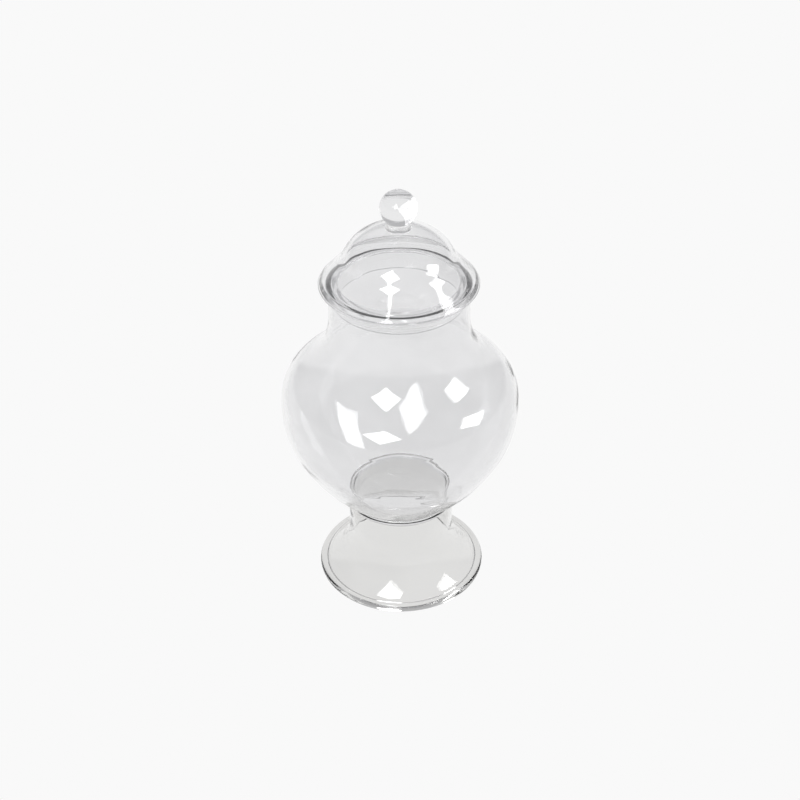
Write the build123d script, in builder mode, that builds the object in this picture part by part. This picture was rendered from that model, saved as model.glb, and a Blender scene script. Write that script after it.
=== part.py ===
"""Glass apothecary jar: a footed, onion-shaped bowl and a domed lift-off lid with a ball knob.

Every piece is turned about the Z axis, and Z = 0 is the surface that the foot stands on.
Glass pieces that are fused together share a face. The lid only rests on the mouth.
"""
import os
from math import cos, radians, sin

from build123d import *

# Driving dimensions, in millimetres and degrees
wall = 3.2

waist_radius = 41.5
waist_height = 43.0
stem_round = 260.0
stem_turn = 5.8
flare_round = 36.0
flare_turn = 26.0
apron_round = 73.0
apron_turn = 19.0
skirt_round = 8.0
skirt_turn = 28.0
foot_bead_radius = 3.6
foot_bead_centre_radius = 63.7
foot_bead_centre_height = 2.4

bowl_base_height = 60.0
base_round = 71.0
base_turn = 40.7
flank_round = 154.0
flank_turn = 22.6
belly_round = 82.0
belly_turn = 32.6
shoulder_round = 34.0
shoulder_turn = 49.6
throat_round = 55.0

mouth_height = 267.0
lip_centre_radius = 51.4
lip_width = 4.2
lip_depth = 6.0
lip_round = 1.2

joint_ring_radius = 41.0
joint_ring_height = 71.6
joint_ring_thickness = 5.8

lid_wall = 3.0
crown_height = 315.2
crown_round = 50.4
crown_turn = 40.5
haunch_round = 35.0
haunch_turn = 25.5
brim_round = 22.0
brim_turn = 18.0

collar_radius = 48.6
collar_depth = 13.6
collar_width = 4.2
collar_lip_round = 1.9
seat_thickness = 3.0
seat_round = 1.4

knob_radius = 13.7
knob_rise = 14.6
knob_undercut = 40.0
knob_neck_round = 8.0
knob_neck_length = 0.8
knob_base_round = 2.5
knob_base_turn = 60.0

# Dimensions that follow from them
brim_slope = crown_turn + haunch_turn - brim_turn
knob_top = crown_height + knob_rise + knob_radius


def follow(line, radius, turn):
    """A tangent arc that carries on from the end of a line; a positive turn is anticlockwise."""
    return JernArc(start=line @ 1, tangent=line % 1, radius=radius, arc_size=turn)


def foot_outline(inset):
    """One face of the foot's wall, from its top at the joint down to the rolled rim."""
    waist = (waist_radius - inset, waist_height)
    stem = JernArc(waist, (0, 1), stem_round + inset, -stem_turn)
    flare = JernArc(waist, (0, -1), flare_round + inset, flare_turn)
    apron = follow(flare, apron_round + inset, apron_turn)
    skirt = follow(apron, skirt_round + inset, skirt_turn)
    return stem, skirt


def bowl_outline(inset):
    """One face of the bowl's wall, from the axis up to the mouth."""
    base = JernArc((0, bowl_base_height + inset), (1, 0), base_round - inset, base_turn)
    flank = follow(base, flank_round - inset, flank_turn)
    belly = follow(flank, belly_round - inset, belly_turn)
    shoulder = follow(belly, shoulder_round - inset, shoulder_turn)
    lean = base_turn + flank_turn + belly_turn + shoulder_turn - 90
    throat = follow(shoulder, throat_round + inset, -lean)
    return Line(throat @ 1, ((throat @ 1).X, mouth_height - lip_round))


def bell_outline(inset):
    """One face of the lid's bell, from the axis out to where the brim runs straight."""
    crown = JernArc((0, crown_height - inset), (1, 0), crown_round - inset, -crown_turn)
    haunch = follow(crown, haunch_round - inset, -haunch_turn)
    return follow(haunch, brim_round + inset, brim_turn)


# Foot: a hollow trumpet, open underneath, whose rolled rim is ground flat where it stands
with BuildPart() as foot:
    with BuildSketch(Plane.XZ):
        with BuildLine():
            outer_stem, outer_skirt = foot_outline(0)
            inner_stem, inner_skirt = foot_outline(wall)
            Line(outer_stem @ 1, inner_stem @ 1)
            Line(outer_skirt @ 1, inner_skirt @ 1)
        make_face()
        with Locations((foot_bead_centre_radius, foot_bead_centre_height)):
            Circle(foot_bead_radius)
        with Locations((foot_bead_centre_radius, 0)):
            Rectangle(
                4 * foot_bead_radius,
                2 * foot_bead_radius,
                align=(Align.CENTER, Align.MAX),
                mode=Mode.SUBTRACT,
            )
    revolve(axis=Axis.Z)
foot.part.label = "foot"

# Bowl: base, belly, shoulder and neck in one blown wall, with a thicker fire-polished lip
with BuildPart() as bowl:
    with BuildSketch(Plane.XZ):
        with BuildLine():
            outer_neck = bowl_outline(0)
            inner_neck = bowl_outline(wall)
            Line((0, bowl_base_height), (0, bowl_base_height + wall))
            Line(outer_neck @ 1, inner_neck @ 1)
        make_face()
        with Locations((lip_centre_radius, mouth_height - lip_depth / 2)):
            RectangleRounded(lip_width, lip_depth, lip_round)
    revolve(axis=Axis.Z)
bowl.part.label = "bowl"

# Joint ring: the collar of glass that fuses the round base of the bowl to the top of the foot
with BuildPart() as joint_ring:
    with BuildSketch(Plane.XZ):
        with Locations((joint_ring_radius, joint_ring_height)):
            Circle(joint_ring_thickness / 2)
    revolve(axis=Axis.Z)
    add(bowl.part, mode=Mode.SUBTRACT)
    add(foot.part, mode=Mode.SUBTRACT)
joint_ring.part.label = "joint_ring"

# Lid shell: a bell with one even wall, whose brim runs out straight to a rounded edge
with BuildPart() as lid_shell:
    with BuildSketch(Plane.XZ):
        with BuildLine():
            outer_bell = bell_outline(0)
            drop = (outer_bell @ 1).Y - mouth_height - lid_wall / 2 * (1 + cos(radians(brim_slope)))
            brim = Line(outer_bell @ 1, outer_bell @ 1 + (outer_bell % 1) * drop / sin(radians(brim_slope)))
            edge = follow(brim, lid_wall / 2, -180)
            inner_bell = bell_outline(lid_wall)
            Line(edge @ 1, inner_bell @ 1)
            Line((0, crown_height), (0, crown_height - lid_wall))
            edge_radius = (edge @ 0.5).X - lid_wall / 2
        make_face()
    revolve(axis=Axis.Z)
lid_shell.part.label = "lid_shell"

# Lid collar: a flat seat under the brim that rests on the mouth, turned down into a thick ring
# that keeps the lid centred
with BuildPart() as lid_collar:
    with BuildSketch(Plane.XZ):
        with BuildLine():
            Polyline(
                (collar_radius, mouth_height),
                (edge_radius, mouth_height),
                (edge_radius, mouth_height + seat_thickness),
                (collar_radius - collar_width, mouth_height + seat_thickness),
                (collar_radius - collar_width, mouth_height - collar_depth),
                (collar_radius, mouth_height - collar_depth),
                close=True,
            )
        make_face()
        fillet(vertices().group_by(Axis.Y)[0], collar_lip_round)
        fillet(vertices().group_by(Axis.Y)[-1].sort_by(Axis.X)[0], seat_round)
    revolve(axis=Axis.Z)
    add(lid_shell.part, mode=Mode.SUBTRACT)
lid_collar.part.label = "lid_collar"

# Knob: a solid ball drawn in to a short neck and fused on the crown of the dome
with BuildPart() as knob:
    with BuildSketch(Plane.XZ):
        with BuildLine():
            ball = JernArc((0, knob_top), (1, 0), knob_radius, -90 - knob_undercut)
            hollow = follow(ball, knob_neck_round, knob_undercut)
            neck = Line(hollow @ 1, hollow @ 1 - (0, knob_neck_length))
            base = follow(neck, knob_base_round, knob_base_turn)
            Polyline(base @ 1, (0, (base @ 1).Y), (0, knob_top))
        make_face()
    revolve(axis=Axis.Z)
    add(lid_shell.part, mode=Mode.SUBTRACT)
knob.part.label = "knob"

for piece in (foot, joint_ring, bowl, lid_shell, lid_collar, knob):
    export_step(piece.part, f"parts/{piece.part.label}.step")
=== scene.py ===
"""Looks for the glass apothecary jar: clear blown glass on a pale studio floor."""
import math

import bpy
import numpy as np
from mathutils import Euler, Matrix, Quaternion, Vector, noise


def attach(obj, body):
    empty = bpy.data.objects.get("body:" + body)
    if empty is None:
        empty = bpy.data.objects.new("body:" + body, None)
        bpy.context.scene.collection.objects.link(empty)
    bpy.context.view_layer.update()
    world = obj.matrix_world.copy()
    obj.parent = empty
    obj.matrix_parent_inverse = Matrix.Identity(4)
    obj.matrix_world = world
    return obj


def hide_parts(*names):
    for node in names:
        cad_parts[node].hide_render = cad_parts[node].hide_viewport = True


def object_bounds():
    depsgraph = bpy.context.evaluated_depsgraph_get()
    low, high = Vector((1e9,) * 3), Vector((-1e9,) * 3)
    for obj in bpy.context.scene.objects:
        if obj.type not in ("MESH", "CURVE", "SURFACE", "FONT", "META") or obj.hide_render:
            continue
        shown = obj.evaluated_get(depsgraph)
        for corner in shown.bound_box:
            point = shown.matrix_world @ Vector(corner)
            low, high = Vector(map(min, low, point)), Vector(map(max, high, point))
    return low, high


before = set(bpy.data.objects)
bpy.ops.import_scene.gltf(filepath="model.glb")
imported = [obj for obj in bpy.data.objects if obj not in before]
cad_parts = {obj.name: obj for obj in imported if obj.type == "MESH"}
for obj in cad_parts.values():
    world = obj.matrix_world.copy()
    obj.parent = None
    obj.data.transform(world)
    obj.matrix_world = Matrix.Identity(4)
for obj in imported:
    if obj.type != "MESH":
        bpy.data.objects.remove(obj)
cad_low, cad_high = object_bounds()

MM = 0.001
SEGMENTS = 192
ARC_STEP = 3.0
LINE_STEP = 2.5
SHARP_ANGLE = 40
# Points nearer than this are one point, in millimetres
SAME_PLACE = 1e-4

# Outlines of the pieces, in millimetres and degrees, close to the CAD. A pair such as STEM is the
# radius and turn of an arc, except for WAIST, BEAD and JOINT_RING, which are places.
WALL = 3.2
LID_WALL = 3.0
WAIST = (41.5, 43.0)
STEM = (260, 5.8)
FLARE = (36, 26)
APRON = (73, 19)
SKIRT = (8, 28)
BEAD = (63.7, 2.4)
BEAD_RADIUS = 3.6
JOINT_RING = (40.9, 71.9)
JOINT_RING_RADIUS = 2.9
BASE_HEIGHT = 60.0
BASE_ROUND = 71.0
BASE_TURN = 40.7
FLANK = (154, 22.6)
BELLY = (82, 32.6)
SHOULDER = (34, 49.6)
THROAT = (55, 55.5)
MOUTH_HEIGHT = 267.0
LIP_CENTRE = 51.4
LIP_HALF_WIDTH = 2.1
LIP_ROUND = 1.2
LIP_SIDE_LOW = 4.6
LIP_UNDERSIDE = 4.8
LIP_BLEND = 6.5
CROWN_HEIGHT = 315.2
CROWN_ROUND = 50.4
CROWN_TURN = 40.5
HAUNCH = (35, 25.5)
BRIM = (22, 18)
COLLAR_RADIUS = 48.6
COLLAR_LOW = 253.4
COLLAR_WIDTH = 4.2
COLLAR_LIP_ROUND = 1.9
SEAT_THICKNESS = 3.0
SEAT_ROUND = 1.4
KNOB_RADIUS = 13.7
KNOB_TOP = 343.5
KNOB_TURN = 130
KNOB_NECK = (8.0, 40)
KNOB_NECK_LENGTH = 0.8
KNOB_BASE = (2.5, 60)
KNOB_FOOT = 9.6

# Waves in the surface of hand-blown glass: their height, how far from a fused face they reach full
# height, and the heights at which pieces rest on something, where there are none
WAVE_BROAD = 0.22
WAVE_STREAK = 0.05
WAVE_FADE = 12.0
RESTS = (0.0, MOUTH_HEIGHT)
# Added to a piece's seed on faces that look toward the axis, so that they wave on their own
INNER_SEED = 7.3

# A hair of air where two loose pieces rest on each other
GAP = 0.15


class Outline:
    """A run of tangent arcs and lines in (radius, height). Headings: 0 is outward and 90 is up."""

    def __init__(self, start, heading):
        self.points = [start]
        self.heading = math.radians(heading)

    def arc(self, radius, turn, step=ARC_STEP):
        side = math.copysign(radius, turn)
        r, z = self.points[-1]
        centre = (r - side * math.sin(self.heading), z + side * math.cos(self.heading))
        count = max(2, math.ceil(abs(turn) / step))
        for i in range(1, count + 1):
            a = self.heading + math.radians(turn) * i / count
            self.points.append((centre[0] + side * math.sin(a), centre[1] - side * math.cos(a)))
        self.heading += math.radians(turn)
        return self

    def line(self, length, step=LINE_STEP):
        r, z = self.points[-1]
        stop = (r + length * math.cos(self.heading), z + length * math.sin(self.heading))
        self.points += straight((r, z), stop, step)
        return self

    @property
    def end(self):
        return self.points[-1]


def straight(a, b, step=LINE_STEP):
    """Points from a to b, without a itself."""
    count = max(1, math.ceil(math.dist(a, b) / step))
    return [
        (a[0] + (b[0] - a[0]) * i / count, a[1] + (b[1] - a[1]) * i / count)
        for i in range(1, count + 1)
    ]


def circle(centre, radius, start, stop, step=10.0):
    """Points on part of a circle, both ends included. Angles: 0 is outward and 90 is up."""
    count = max(1, math.ceil(abs(stop - start) / step))
    angles = [math.radians(start + (stop - start) * i / count) for i in range(count + 1)]
    return [(centre[0] + radius * math.cos(a), centre[1] + radius * math.sin(a)) for a in angles]


def tidy(points):
    """Drops points that repeat the one before."""
    kept = [points[0]]
    for p in points[1:]:
        if math.dist(p, kept[-1]) > SAME_PLACE:
            kept.append(p)
    return kept


def calm(point, held):
    """0 beside a fused or resting face and 1 well away from every one."""
    near = min([math.dist(point, q) for q in held] + [abs(point[1] - height) for height in RESTS])
    t = min(1.0, near / WAVE_FADE)
    return t * t * (3 - 2 * t)


def waves(r, z, angle, seed):
    """How far hand-blown glass wanders from true at one place, in millimetres."""
    x, y = r * math.cos(angle), r * math.sin(angle)
    broad = noise.noise(Vector((x / 34, y / 34, z / 26 + seed)))
    streak = noise.noise(Vector((x / 60 + seed, y / 60, z / 7)))
    return WAVE_BROAD * broad + WAVE_STREAK * streak


def lathe(name, runs, seed=0.0):
    """Turns a closed anticlockwise outline about Z.

    Each run of it is (points, fused), and a fused run lies against another piece.
    """
    loop = []
    marks = []
    for points, fused in runs:
        points = tidy(points)
        if loop and math.dist(loop[-1], points[0]) < SAME_PLACE:
            points = points[1:]
            if marks:
                marks[-1] = fused
        loop += points
        marks += [fused] * len(points)
    if math.dist(loop[0], loop[-1]) < SAME_PLACE:
        loop.pop()
        marks.pop()
    area = sum(a[0] * b[1] - b[0] * a[1] for a, b in zip(loop, loop[1:] + loop[:1]))
    assert area > 0, name
    held = [p for p, mark in zip(loop, marks) if mark]
    held += [p for p, mark in zip(loop[1:] + loop[:1], marks) if mark]
    rings = []
    verts = []
    for i, (r, z) in enumerate(loop):
        before, after = loop[i - 1], loop[(i + 1) % len(loop)]
        across = Vector((after[1] - before[1], before[0] - after[0])).normalized()
        reach = calm((r, z), held)
        face_seed = seed + (INNER_SEED if across.x < 0 else 0.0)
        rings.append(len(verts))
        turns = 1 if r < SAME_PLACE else SEGMENTS
        for k in range(turns):
            a = 2 * math.pi * k / SEGMENTS
            off = reach * waves(r, z, a, face_seed) if r > SAME_PLACE else 0.0
            rr, zz = r + off * across.x, z + off * across.y
            verts.append((rr * math.cos(a) * MM, rr * math.sin(a) * MM, zz * MM))
    faces = []
    index = []
    for i in range(len(loop)):
        j = (i + 1) % len(loop)
        a_pole = loop[i][0] < SAME_PLACE
        b_pole = loop[j][0] < SAME_PLACE
        if a_pole and b_pole:
            continue
        for k in range(SEGMENTS):
            m = (k + 1) % SEGMENTS
            if a_pole:
                faces.append((rings[i], rings[j] + m, rings[j] + k))
            elif b_pole:
                faces.append((rings[i] + k, rings[i] + m, rings[j]))
            else:
                faces.append((rings[i] + k, rings[i] + m, rings[j] + m, rings[j] + k))
            index.append(int(marks[i]))
    mesh = bpy.data.meshes.new(name)
    mesh.from_pydata(verts, [], faces)
    mesh.polygons.foreach_set("material_index", index)
    mesh.polygons.foreach_set("use_smooth", [True] * len(faces))
    mesh.set_sharp_from_angle(angle=math.radians(SHARP_ANGLE))
    piece = bpy.data.objects.new(name, mesh)
    bpy.context.scene.collection.objects.link(piece)
    return piece


# Radii between which the foot is fused to the underside of the bowl
JOINT_BAND = (40.4, 43.0)


def under_bowl(r):
    return BASE_HEIGHT + BASE_ROUND - math.sqrt(BASE_ROUND**2 - r * r)


def on_crown(r):
    return CROWN_HEIGHT - CROWN_ROUND + math.sqrt(CROWN_ROUND**2 - r * r)


def along(curve, start, stop, count):
    radii = np.linspace(start, stop, count)
    return [(float(r), curve(float(r))) for r in radii]


def foot_stem(inset):
    stem = Outline((WAIST[0] - inset, WAIST[1]), 90)
    return stem.arc(STEM[0] + inset, -STEM[1], 0.6)


def make_foot():
    def flare(inset):
        side = Outline((WAIST[0] - inset, WAIST[1]), -90)
        for radius, turn in (FLARE, APRON, SKIRT):
            side.arc(radius + inset, turn)
        return side

    def outside_bead(points):
        return [p for p in points if math.dist(p, BEAD) > BEAD_RADIUS + 0.05]

    def bearing(point):
        return math.degrees(math.atan2(point[1] - BEAD[1], point[0] - BEAD[0]))

    outer = outside_bead(flare(0).points)
    inner = outside_bead(flare(WALL).points)
    flat = math.degrees(math.asin(-BEAD[1] / BEAD_RADIUS))
    rim = circle(BEAD, BEAD_RADIUS, flat, bearing(outer[-1]) - 6, 6)
    rim_in = circle(BEAD, BEAD_RADIUS, bearing(inner[-1]) % 360 + 6, 180 - flat, 6)
    outside = rim + outer[::-1] + foot_stem(0).points[1:]
    inside = foot_stem(WALL).points[::-1] + inner[1:] + rim_in
    seam = [outside[-1]] + straight(outside[-1], inside[0], 1.0)
    ground = [inside[-1], outside[0]]
    runs = [(ground, False), (outside, False), (seam, True), (inside, False)]
    return lathe("foot_glass", runs, seed=1.7)


def make_joint_ring():
    stem = foot_stem(0).end
    stem_in = foot_stem(WALL).end
    swell = circle(JOINT_RING, JOINT_RING_RADIUS, -45, 90, 6)
    outer = [stem] + [(r, z) for r, z in swell if z < under_bowl(r) - 0.05]
    low, high = JOINT_BAND
    roof = along(under_bowl, high, low, 5)
    inner = [roof[-1], (low - 0.5, 71.2), stem_in]
    runs = [([stem_in, stem], True), (outer + [roof[0]], False), (roof, True), (inner, False)]
    return lathe("joint_ring_glass", runs)


def make_bowl():
    def wall(inset):
        side = Outline((0, BASE_HEIGHT + inset), 0).arc(BASE_ROUND - inset, BASE_TURN)
        for radius, turn in (FLANK, BELLY, SHOULDER):
            side.arc(radius - inset, turn)
        return side.arc(THROAT[0] + inset, -THROAT[1])

    outer = wall(0)
    inner = wall(WALL)
    lip_out = LIP_CENTRE + LIP_HALF_WIDTH
    lip_in = LIP_CENTRE - LIP_HALF_WIDTH
    outer.line(MOUTH_HEIGHT - LIP_BLEND - outer.end[1])
    inner.line(MOUTH_HEIGHT - LIP_BLEND - inner.end[1])
    corner = MOUTH_HEIGHT - LIP_ROUND
    lip = [(lip_out, MOUTH_HEIGHT - LIP_SIDE_LOW)]
    lip += circle((lip_out - LIP_ROUND, corner), LIP_ROUND, 0, 90, 15)
    lip += circle((lip_in + LIP_ROUND, corner), LIP_ROUND, 90, 180, 15)
    lip.append((lip_in, MOUTH_HEIGHT - LIP_SIDE_LOW))
    lip += circle((lip_in + LIP_ROUND, MOUTH_HEIGHT - LIP_UNDERSIDE), LIP_ROUND, 180, 240, 15)
    low, high = JOINT_BAND
    belly_height = 100
    base = [p for p in outer.points if p[0] < low - 0.1 and p[1] < belly_height]
    base.append((low, under_bowl(low)))
    seam = along(under_bowl, low, high, 5)
    side = [seam[-1]] + [p for p in outer.points if p[0] > high + 0.1 or p[1] > belly_height]
    runs = [(base, False), (seam, True), (side + lip + inner.points[::-1], False)]
    return lathe("bowl_glass", runs, seed=4.1)


def bell(inset):
    """The lid's outline from the axis out to where the brim runs straight."""
    crown = Outline((0, CROWN_HEIGHT - inset), 0).arc(CROWN_ROUND - inset, -CROWN_TURN)
    return crown.arc(HAUNCH[0] - inset, -HAUNCH[1]).arc(BRIM[0] + inset, BRIM[1], 2.0)


def brim(inset):
    """The bell's outline, carried on along its straight brim to where the rounded edge begins."""
    half = LID_WALL / 2
    outer = bell(0)
    slope = -outer.heading
    drop = outer.end[1] - MOUTH_HEIGHT - GAP - half * (1 + math.cos(slope))
    length = drop / math.sin(slope)
    return bell(inset).line(length)


def make_lid_shell():
    outer = brim(0).arc(LID_WALL / 2, -180, 12)
    inner = brim(LID_WALL)
    top = [p for p in outer.points if p[0] > KNOB_FOOT + 0.2]
    seam_top = along(on_crown, KNOB_FOOT, 0, 6)
    fused = [inner.end, seat_end(inner)]
    rest = [p for p in inner.points if p[1] > fused[-1][1]] + [fused[-1]]
    runs = [
        (fused[::-1], True),
        ([fused[0]] + top[::-1] + [seam_top[0]], False),
        (seam_top, True),
        (rest, False),
    ]
    return lathe("lid_shell_glass", runs, seed=9.6)


def seat_end(inner):
    """Where the top of the collar's seat meets the inside of the brim."""
    r, z = inner.end
    rise = MOUTH_HEIGHT + GAP + SEAT_THICKNESS - z
    return (r - rise / math.tan(-inner.heading), z + rise)


def make_lid_collar():
    low = MOUTH_HEIGHT + GAP
    bore = COLLAR_RADIUS - COLLAR_WIDTH
    turn = COLLAR_LOW + COLLAR_LIP_ROUND
    inner = brim(LID_WALL)
    meet = seat_end(inner)
    foot = circle((bore + COLLAR_LIP_ROUND, turn), COLLAR_LIP_ROUND, 180, 270, 12)
    foot += circle((COLLAR_RADIUS - COLLAR_LIP_ROUND, turn), COLLAR_LIP_ROUND, 270, 360, 12)
    outside = foot + straight(foot[-1], (COLLAR_RADIUS, low))
    outside += straight((COLLAR_RADIUS, low), (inner.end[0] - 0.6, low)) + [inner.end]
    roll = circle((bore + SEAT_ROUND, meet[1] - SEAT_ROUND), SEAT_ROUND, 90, 180, 12)
    inside = [meet] + straight(meet, roll[0]) + roll[1:] + straight(roll[-1], foot[0])
    runs = [(outside, False), ([inner.end, meet], True), (inside, False)]
    return lathe("lid_collar_glass", runs, seed=13.2)


def make_knob():
    ball = Outline((0, KNOB_TOP), 0).arc(KNOB_RADIUS, -KNOB_TURN).arc(*KNOB_NECK, 5)
    ball.line(KNOB_NECK_LENGTH, 0.4).arc(*KNOB_BASE, 10)
    side = [p for p in ball.points if p[1] > on_crown(p[0]) + 0.02]
    last_r, last_z = side[-1]
    edge = last_r + (last_z - on_crown(last_r)) * 2.5
    seam = along(on_crown, 0, edge, 6)
    return lathe("knob_glass", [(seam, True), ([seam[-1]] + side[::-1], False)], seed=17.9)


def glass(name, glass_tint_and_painted_shade, haze):
    """Clear soda-lime glass with a tint (a faint glass tint, and for the foot a darker painted shade),
    fine drawn streaks, and a trace of haze from handling.
    """
    material = bpy.data.materials.new(name)
    material.use_nodes = True
    tree = material.node_tree
    shader = tree.nodes["Principled BSDF"]
    shader.inputs["IOR"].default_value = 1.5
    shader.inputs["Transmission Weight"].default_value = 1.0
    coordinates = tree.nodes.new("ShaderNodeTexCoord")

    def cloud(scale, stretch, detail):
        place = tree.nodes.new("ShaderNodeMapping")
        place.inputs["Scale"].default_value = (1, 1, stretch)
        field = tree.nodes.new("ShaderNodeTexNoise")
        field.inputs["Scale"].default_value = scale
        field.inputs["Detail"].default_value = detail
        tree.links.new(coordinates.outputs["Object"], place.inputs["Vector"])
        tree.links.new(place.outputs["Vector"], field.inputs["Vector"])
        return field.outputs["Fac"]

    def blend(field, low, high, first, second):
        ramp = tree.nodes.new("ShaderNodeValToRGB")
        ramp.color_ramp.elements[0].position = low
        ramp.color_ramp.elements[1].position = high
        ramp.color_ramp.elements[0].color = (*first, 1)
        ramp.color_ramp.elements[1].color = (*second, 1)
        tree.links.new(field, ramp.inputs["Fac"])
        return ramp.outputs["Color"]

    deeper = [c * 0.955 for c in glass_tint_and_painted_shade]
    colour = blend(cloud(14.0, 1.6, 2.0), 0.38, 0.62, deeper, glass_tint_and_painted_shade)
    tree.links.new(colour, shader.inputs["Base Color"])
    smudge = blend(cloud(38.0, 0.8, 4.0), 0.52, 0.74, (0, 0, 0), (haze, haze, haze))
    tree.links.new(smudge, shader.inputs["Roughness"])
    bump = tree.nodes.new("ShaderNodeBump")
    bump.inputs["Strength"].default_value = 0.05
    bump.inputs["Distance"].default_value = 0.002
    tree.links.new(cloud(9.0, 9.0, 1.0), bump.inputs["Height"])
    tree.links.new(bump.outputs["Normal"], shader.inputs["Normal"])
    return material


def clear_seam():
    """Lets light straight through where two pieces are one piece of glass."""
    material = bpy.data.materials.new("fused_face")
    material.use_nodes = True
    tree = material.node_tree
    tree.nodes.clear()
    out = tree.nodes.new("ShaderNodeOutputMaterial")
    through = tree.nodes.new("ShaderNodeBsdfTransparent")
    tree.links.new(through.outputs[0], out.inputs["Surface"])
    return material


seam = clear_seam()
body_glass = glass("body_glass", (0.91, 0.91, 0.915), 0.03)
# The foot's glass is darker and warmer than the rest: painted shade, standing in for the shadow on the
# floor under the jar seen through the foot
foot_glass = glass("foot_glass", (0.80, 0.797, 0.787), 0.03)
collar_glass = glass("collar_glass", (0.97, 0.97, 0.97), 0.02)
join_glass = glass("join_glass", (0.80, 0.80, 0.81), 0.02)
lid_glass = glass("lid_glass", (0.96, 0.96, 0.965), 0.03)
knob_glass = glass("knob_glass", (0.90, 0.90, 0.905), 0.02)
PIECES = {
    "foot": (make_foot(), "jar", "foot_glass", foot_glass),
    "joint_ring": (make_joint_ring(), "jar", "foot_glass", join_glass),
    "bowl": (make_bowl(), "jar", "blown_glass", body_glass),
    "lid_shell": (make_lid_shell(), "lid", "lid_glass", lid_glass),
    "lid_collar": (make_lid_collar(), "lid", "lid_glass", collar_glass),
    "knob": (make_knob(), "lid", "knob_glass", knob_glass),
}
for node, (piece, body, slot, material) in PIECES.items():
    piece.data.materials.append(material)
    piece.data.materials.append(seam)
    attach(piece, body)
    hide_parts(node)

# Stage: paper that is evenly bright, so it shows no shadow
PAPER = 0.947
FLOOR_REACH = 8.0
mesh = bpy.data.meshes.new("floor")
corners = [(-1, -1), (1, -1), (1, 1), (-1, 1)]
mesh.from_pydata([(x * FLOOR_REACH, y * FLOOR_REACH, -0.0005) for x, y in corners], [], [(0, 1, 2, 3)])
floor = bpy.data.objects.new("floor", mesh)
bpy.context.scene.collection.objects.link(floor)
paper = bpy.data.materials.new("paper")
paper.use_nodes = True
tree = paper.node_tree
tree.nodes.clear()
surface = tree.nodes.new("ShaderNodeOutputMaterial")
glow = tree.nodes.new("ShaderNodeEmission")
tree.links.new(glow.outputs[0], surface.inputs["Surface"])
glow.inputs["Color"].default_value = (PAPER, PAPER, PAPER, 1)
mesh.materials.append(paper)

# Walls of the studio: as bright as the paper near the horizon, and grey from there up
SKY_START = 0.02
SKY_STOP = 0.12
SKY_GREY = (0.50, 0.50, 0.51)
world = bpy.data.worlds.new("studio")
bpy.context.scene.world = world
world.use_nodes = True
tree = world.node_tree
sky = tree.nodes["Background"]
coordinates = tree.nodes.new("ShaderNodeTexCoord")
split = tree.nodes.new("ShaderNodeSeparateXYZ")
ramp = tree.nodes.new("ShaderNodeValToRGB")
tree.links.new(coordinates.outputs["Generated"], split.inputs[0])
tree.links.new(split.outputs["Z"], ramp.inputs[0])
ramp.color_ramp.elements[0].position = SKY_START
ramp.color_ramp.elements[0].color = (PAPER, PAPER, PAPER, 1)
ramp.color_ramp.elements[1].position = SKY_STOP
ramp.color_ramp.elements[1].color = (*SKY_GREY, 1)
tree.links.new(ramp.outputs[0], sky.inputs["Color"])


def softbox(name, azimuth, elevation, distance, side, radiance):
    """A square lamp stood on its corner, aimed at the middle of the jar."""
    data = bpy.data.lights.new(name, "AREA")
    data.shape = "SQUARE"
    data.size = side
    data.energy = radiance * math.pi * side * side
    lamp = bpy.data.objects.new(name, data)
    level = math.cos(math.radians(elevation))
    around = math.radians(azimuth)
    rise = math.sin(math.radians(elevation))
    toward = Vector((level * math.cos(around), level * math.sin(around), rise))
    lamp.location = (cad_low + cad_high) / 2 + toward * distance
    lamp.rotation_mode = "QUATERNION"
    aim = (-toward).to_track_quat("-Z", "Y")
    lamp.rotation_quaternion = aim @ Quaternion((0, 0, 1), math.radians(45))
    lamp.visible_camera = False
    bpy.context.scene.collection.objects.link(lamp)


softbox("softbox_left", azimuth=-109, elevation=37, distance=1.5, side=0.64, radiance=7)
softbox("softbox_right", azimuth=-13, elevation=28, distance=1.5, side=0.58, radiance=7)

# Camera: lens in millimetres, place in metres, dip below level and roll in degrees
CAMERA_LENS = 68.85
CAMERA_PLACE = (0, -0.9724, 0.850)
CAMERA_DIP = 35.3
CAMERA_ROLL = -0.5
view = bpy.data.cameras.new("camera")
view.lens = CAMERA_LENS
view.sensor_width = 36
camera = bpy.data.objects.new("camera", view)
bpy.context.scene.collection.objects.link(camera)
camera.location = CAMERA_PLACE
camera.rotation_mode = "QUATERNION"
tilt = Euler((math.radians(90 - CAMERA_DIP), 0, 0)).to_quaternion()
camera.rotation_quaternion = tilt @ Quaternion((0, 0, 1), math.radians(CAMERA_ROLL))
bpy.context.scene.camera = camera

cycles = bpy.context.scene.cycles
cycles.max_bounces = 32
cycles.transmission_bounces = 32
cycles.glossy_bounces = 16
cycles.transparent_max_bounces = 32
bpy.context.scene.view_settings.view_transform = "Standard"
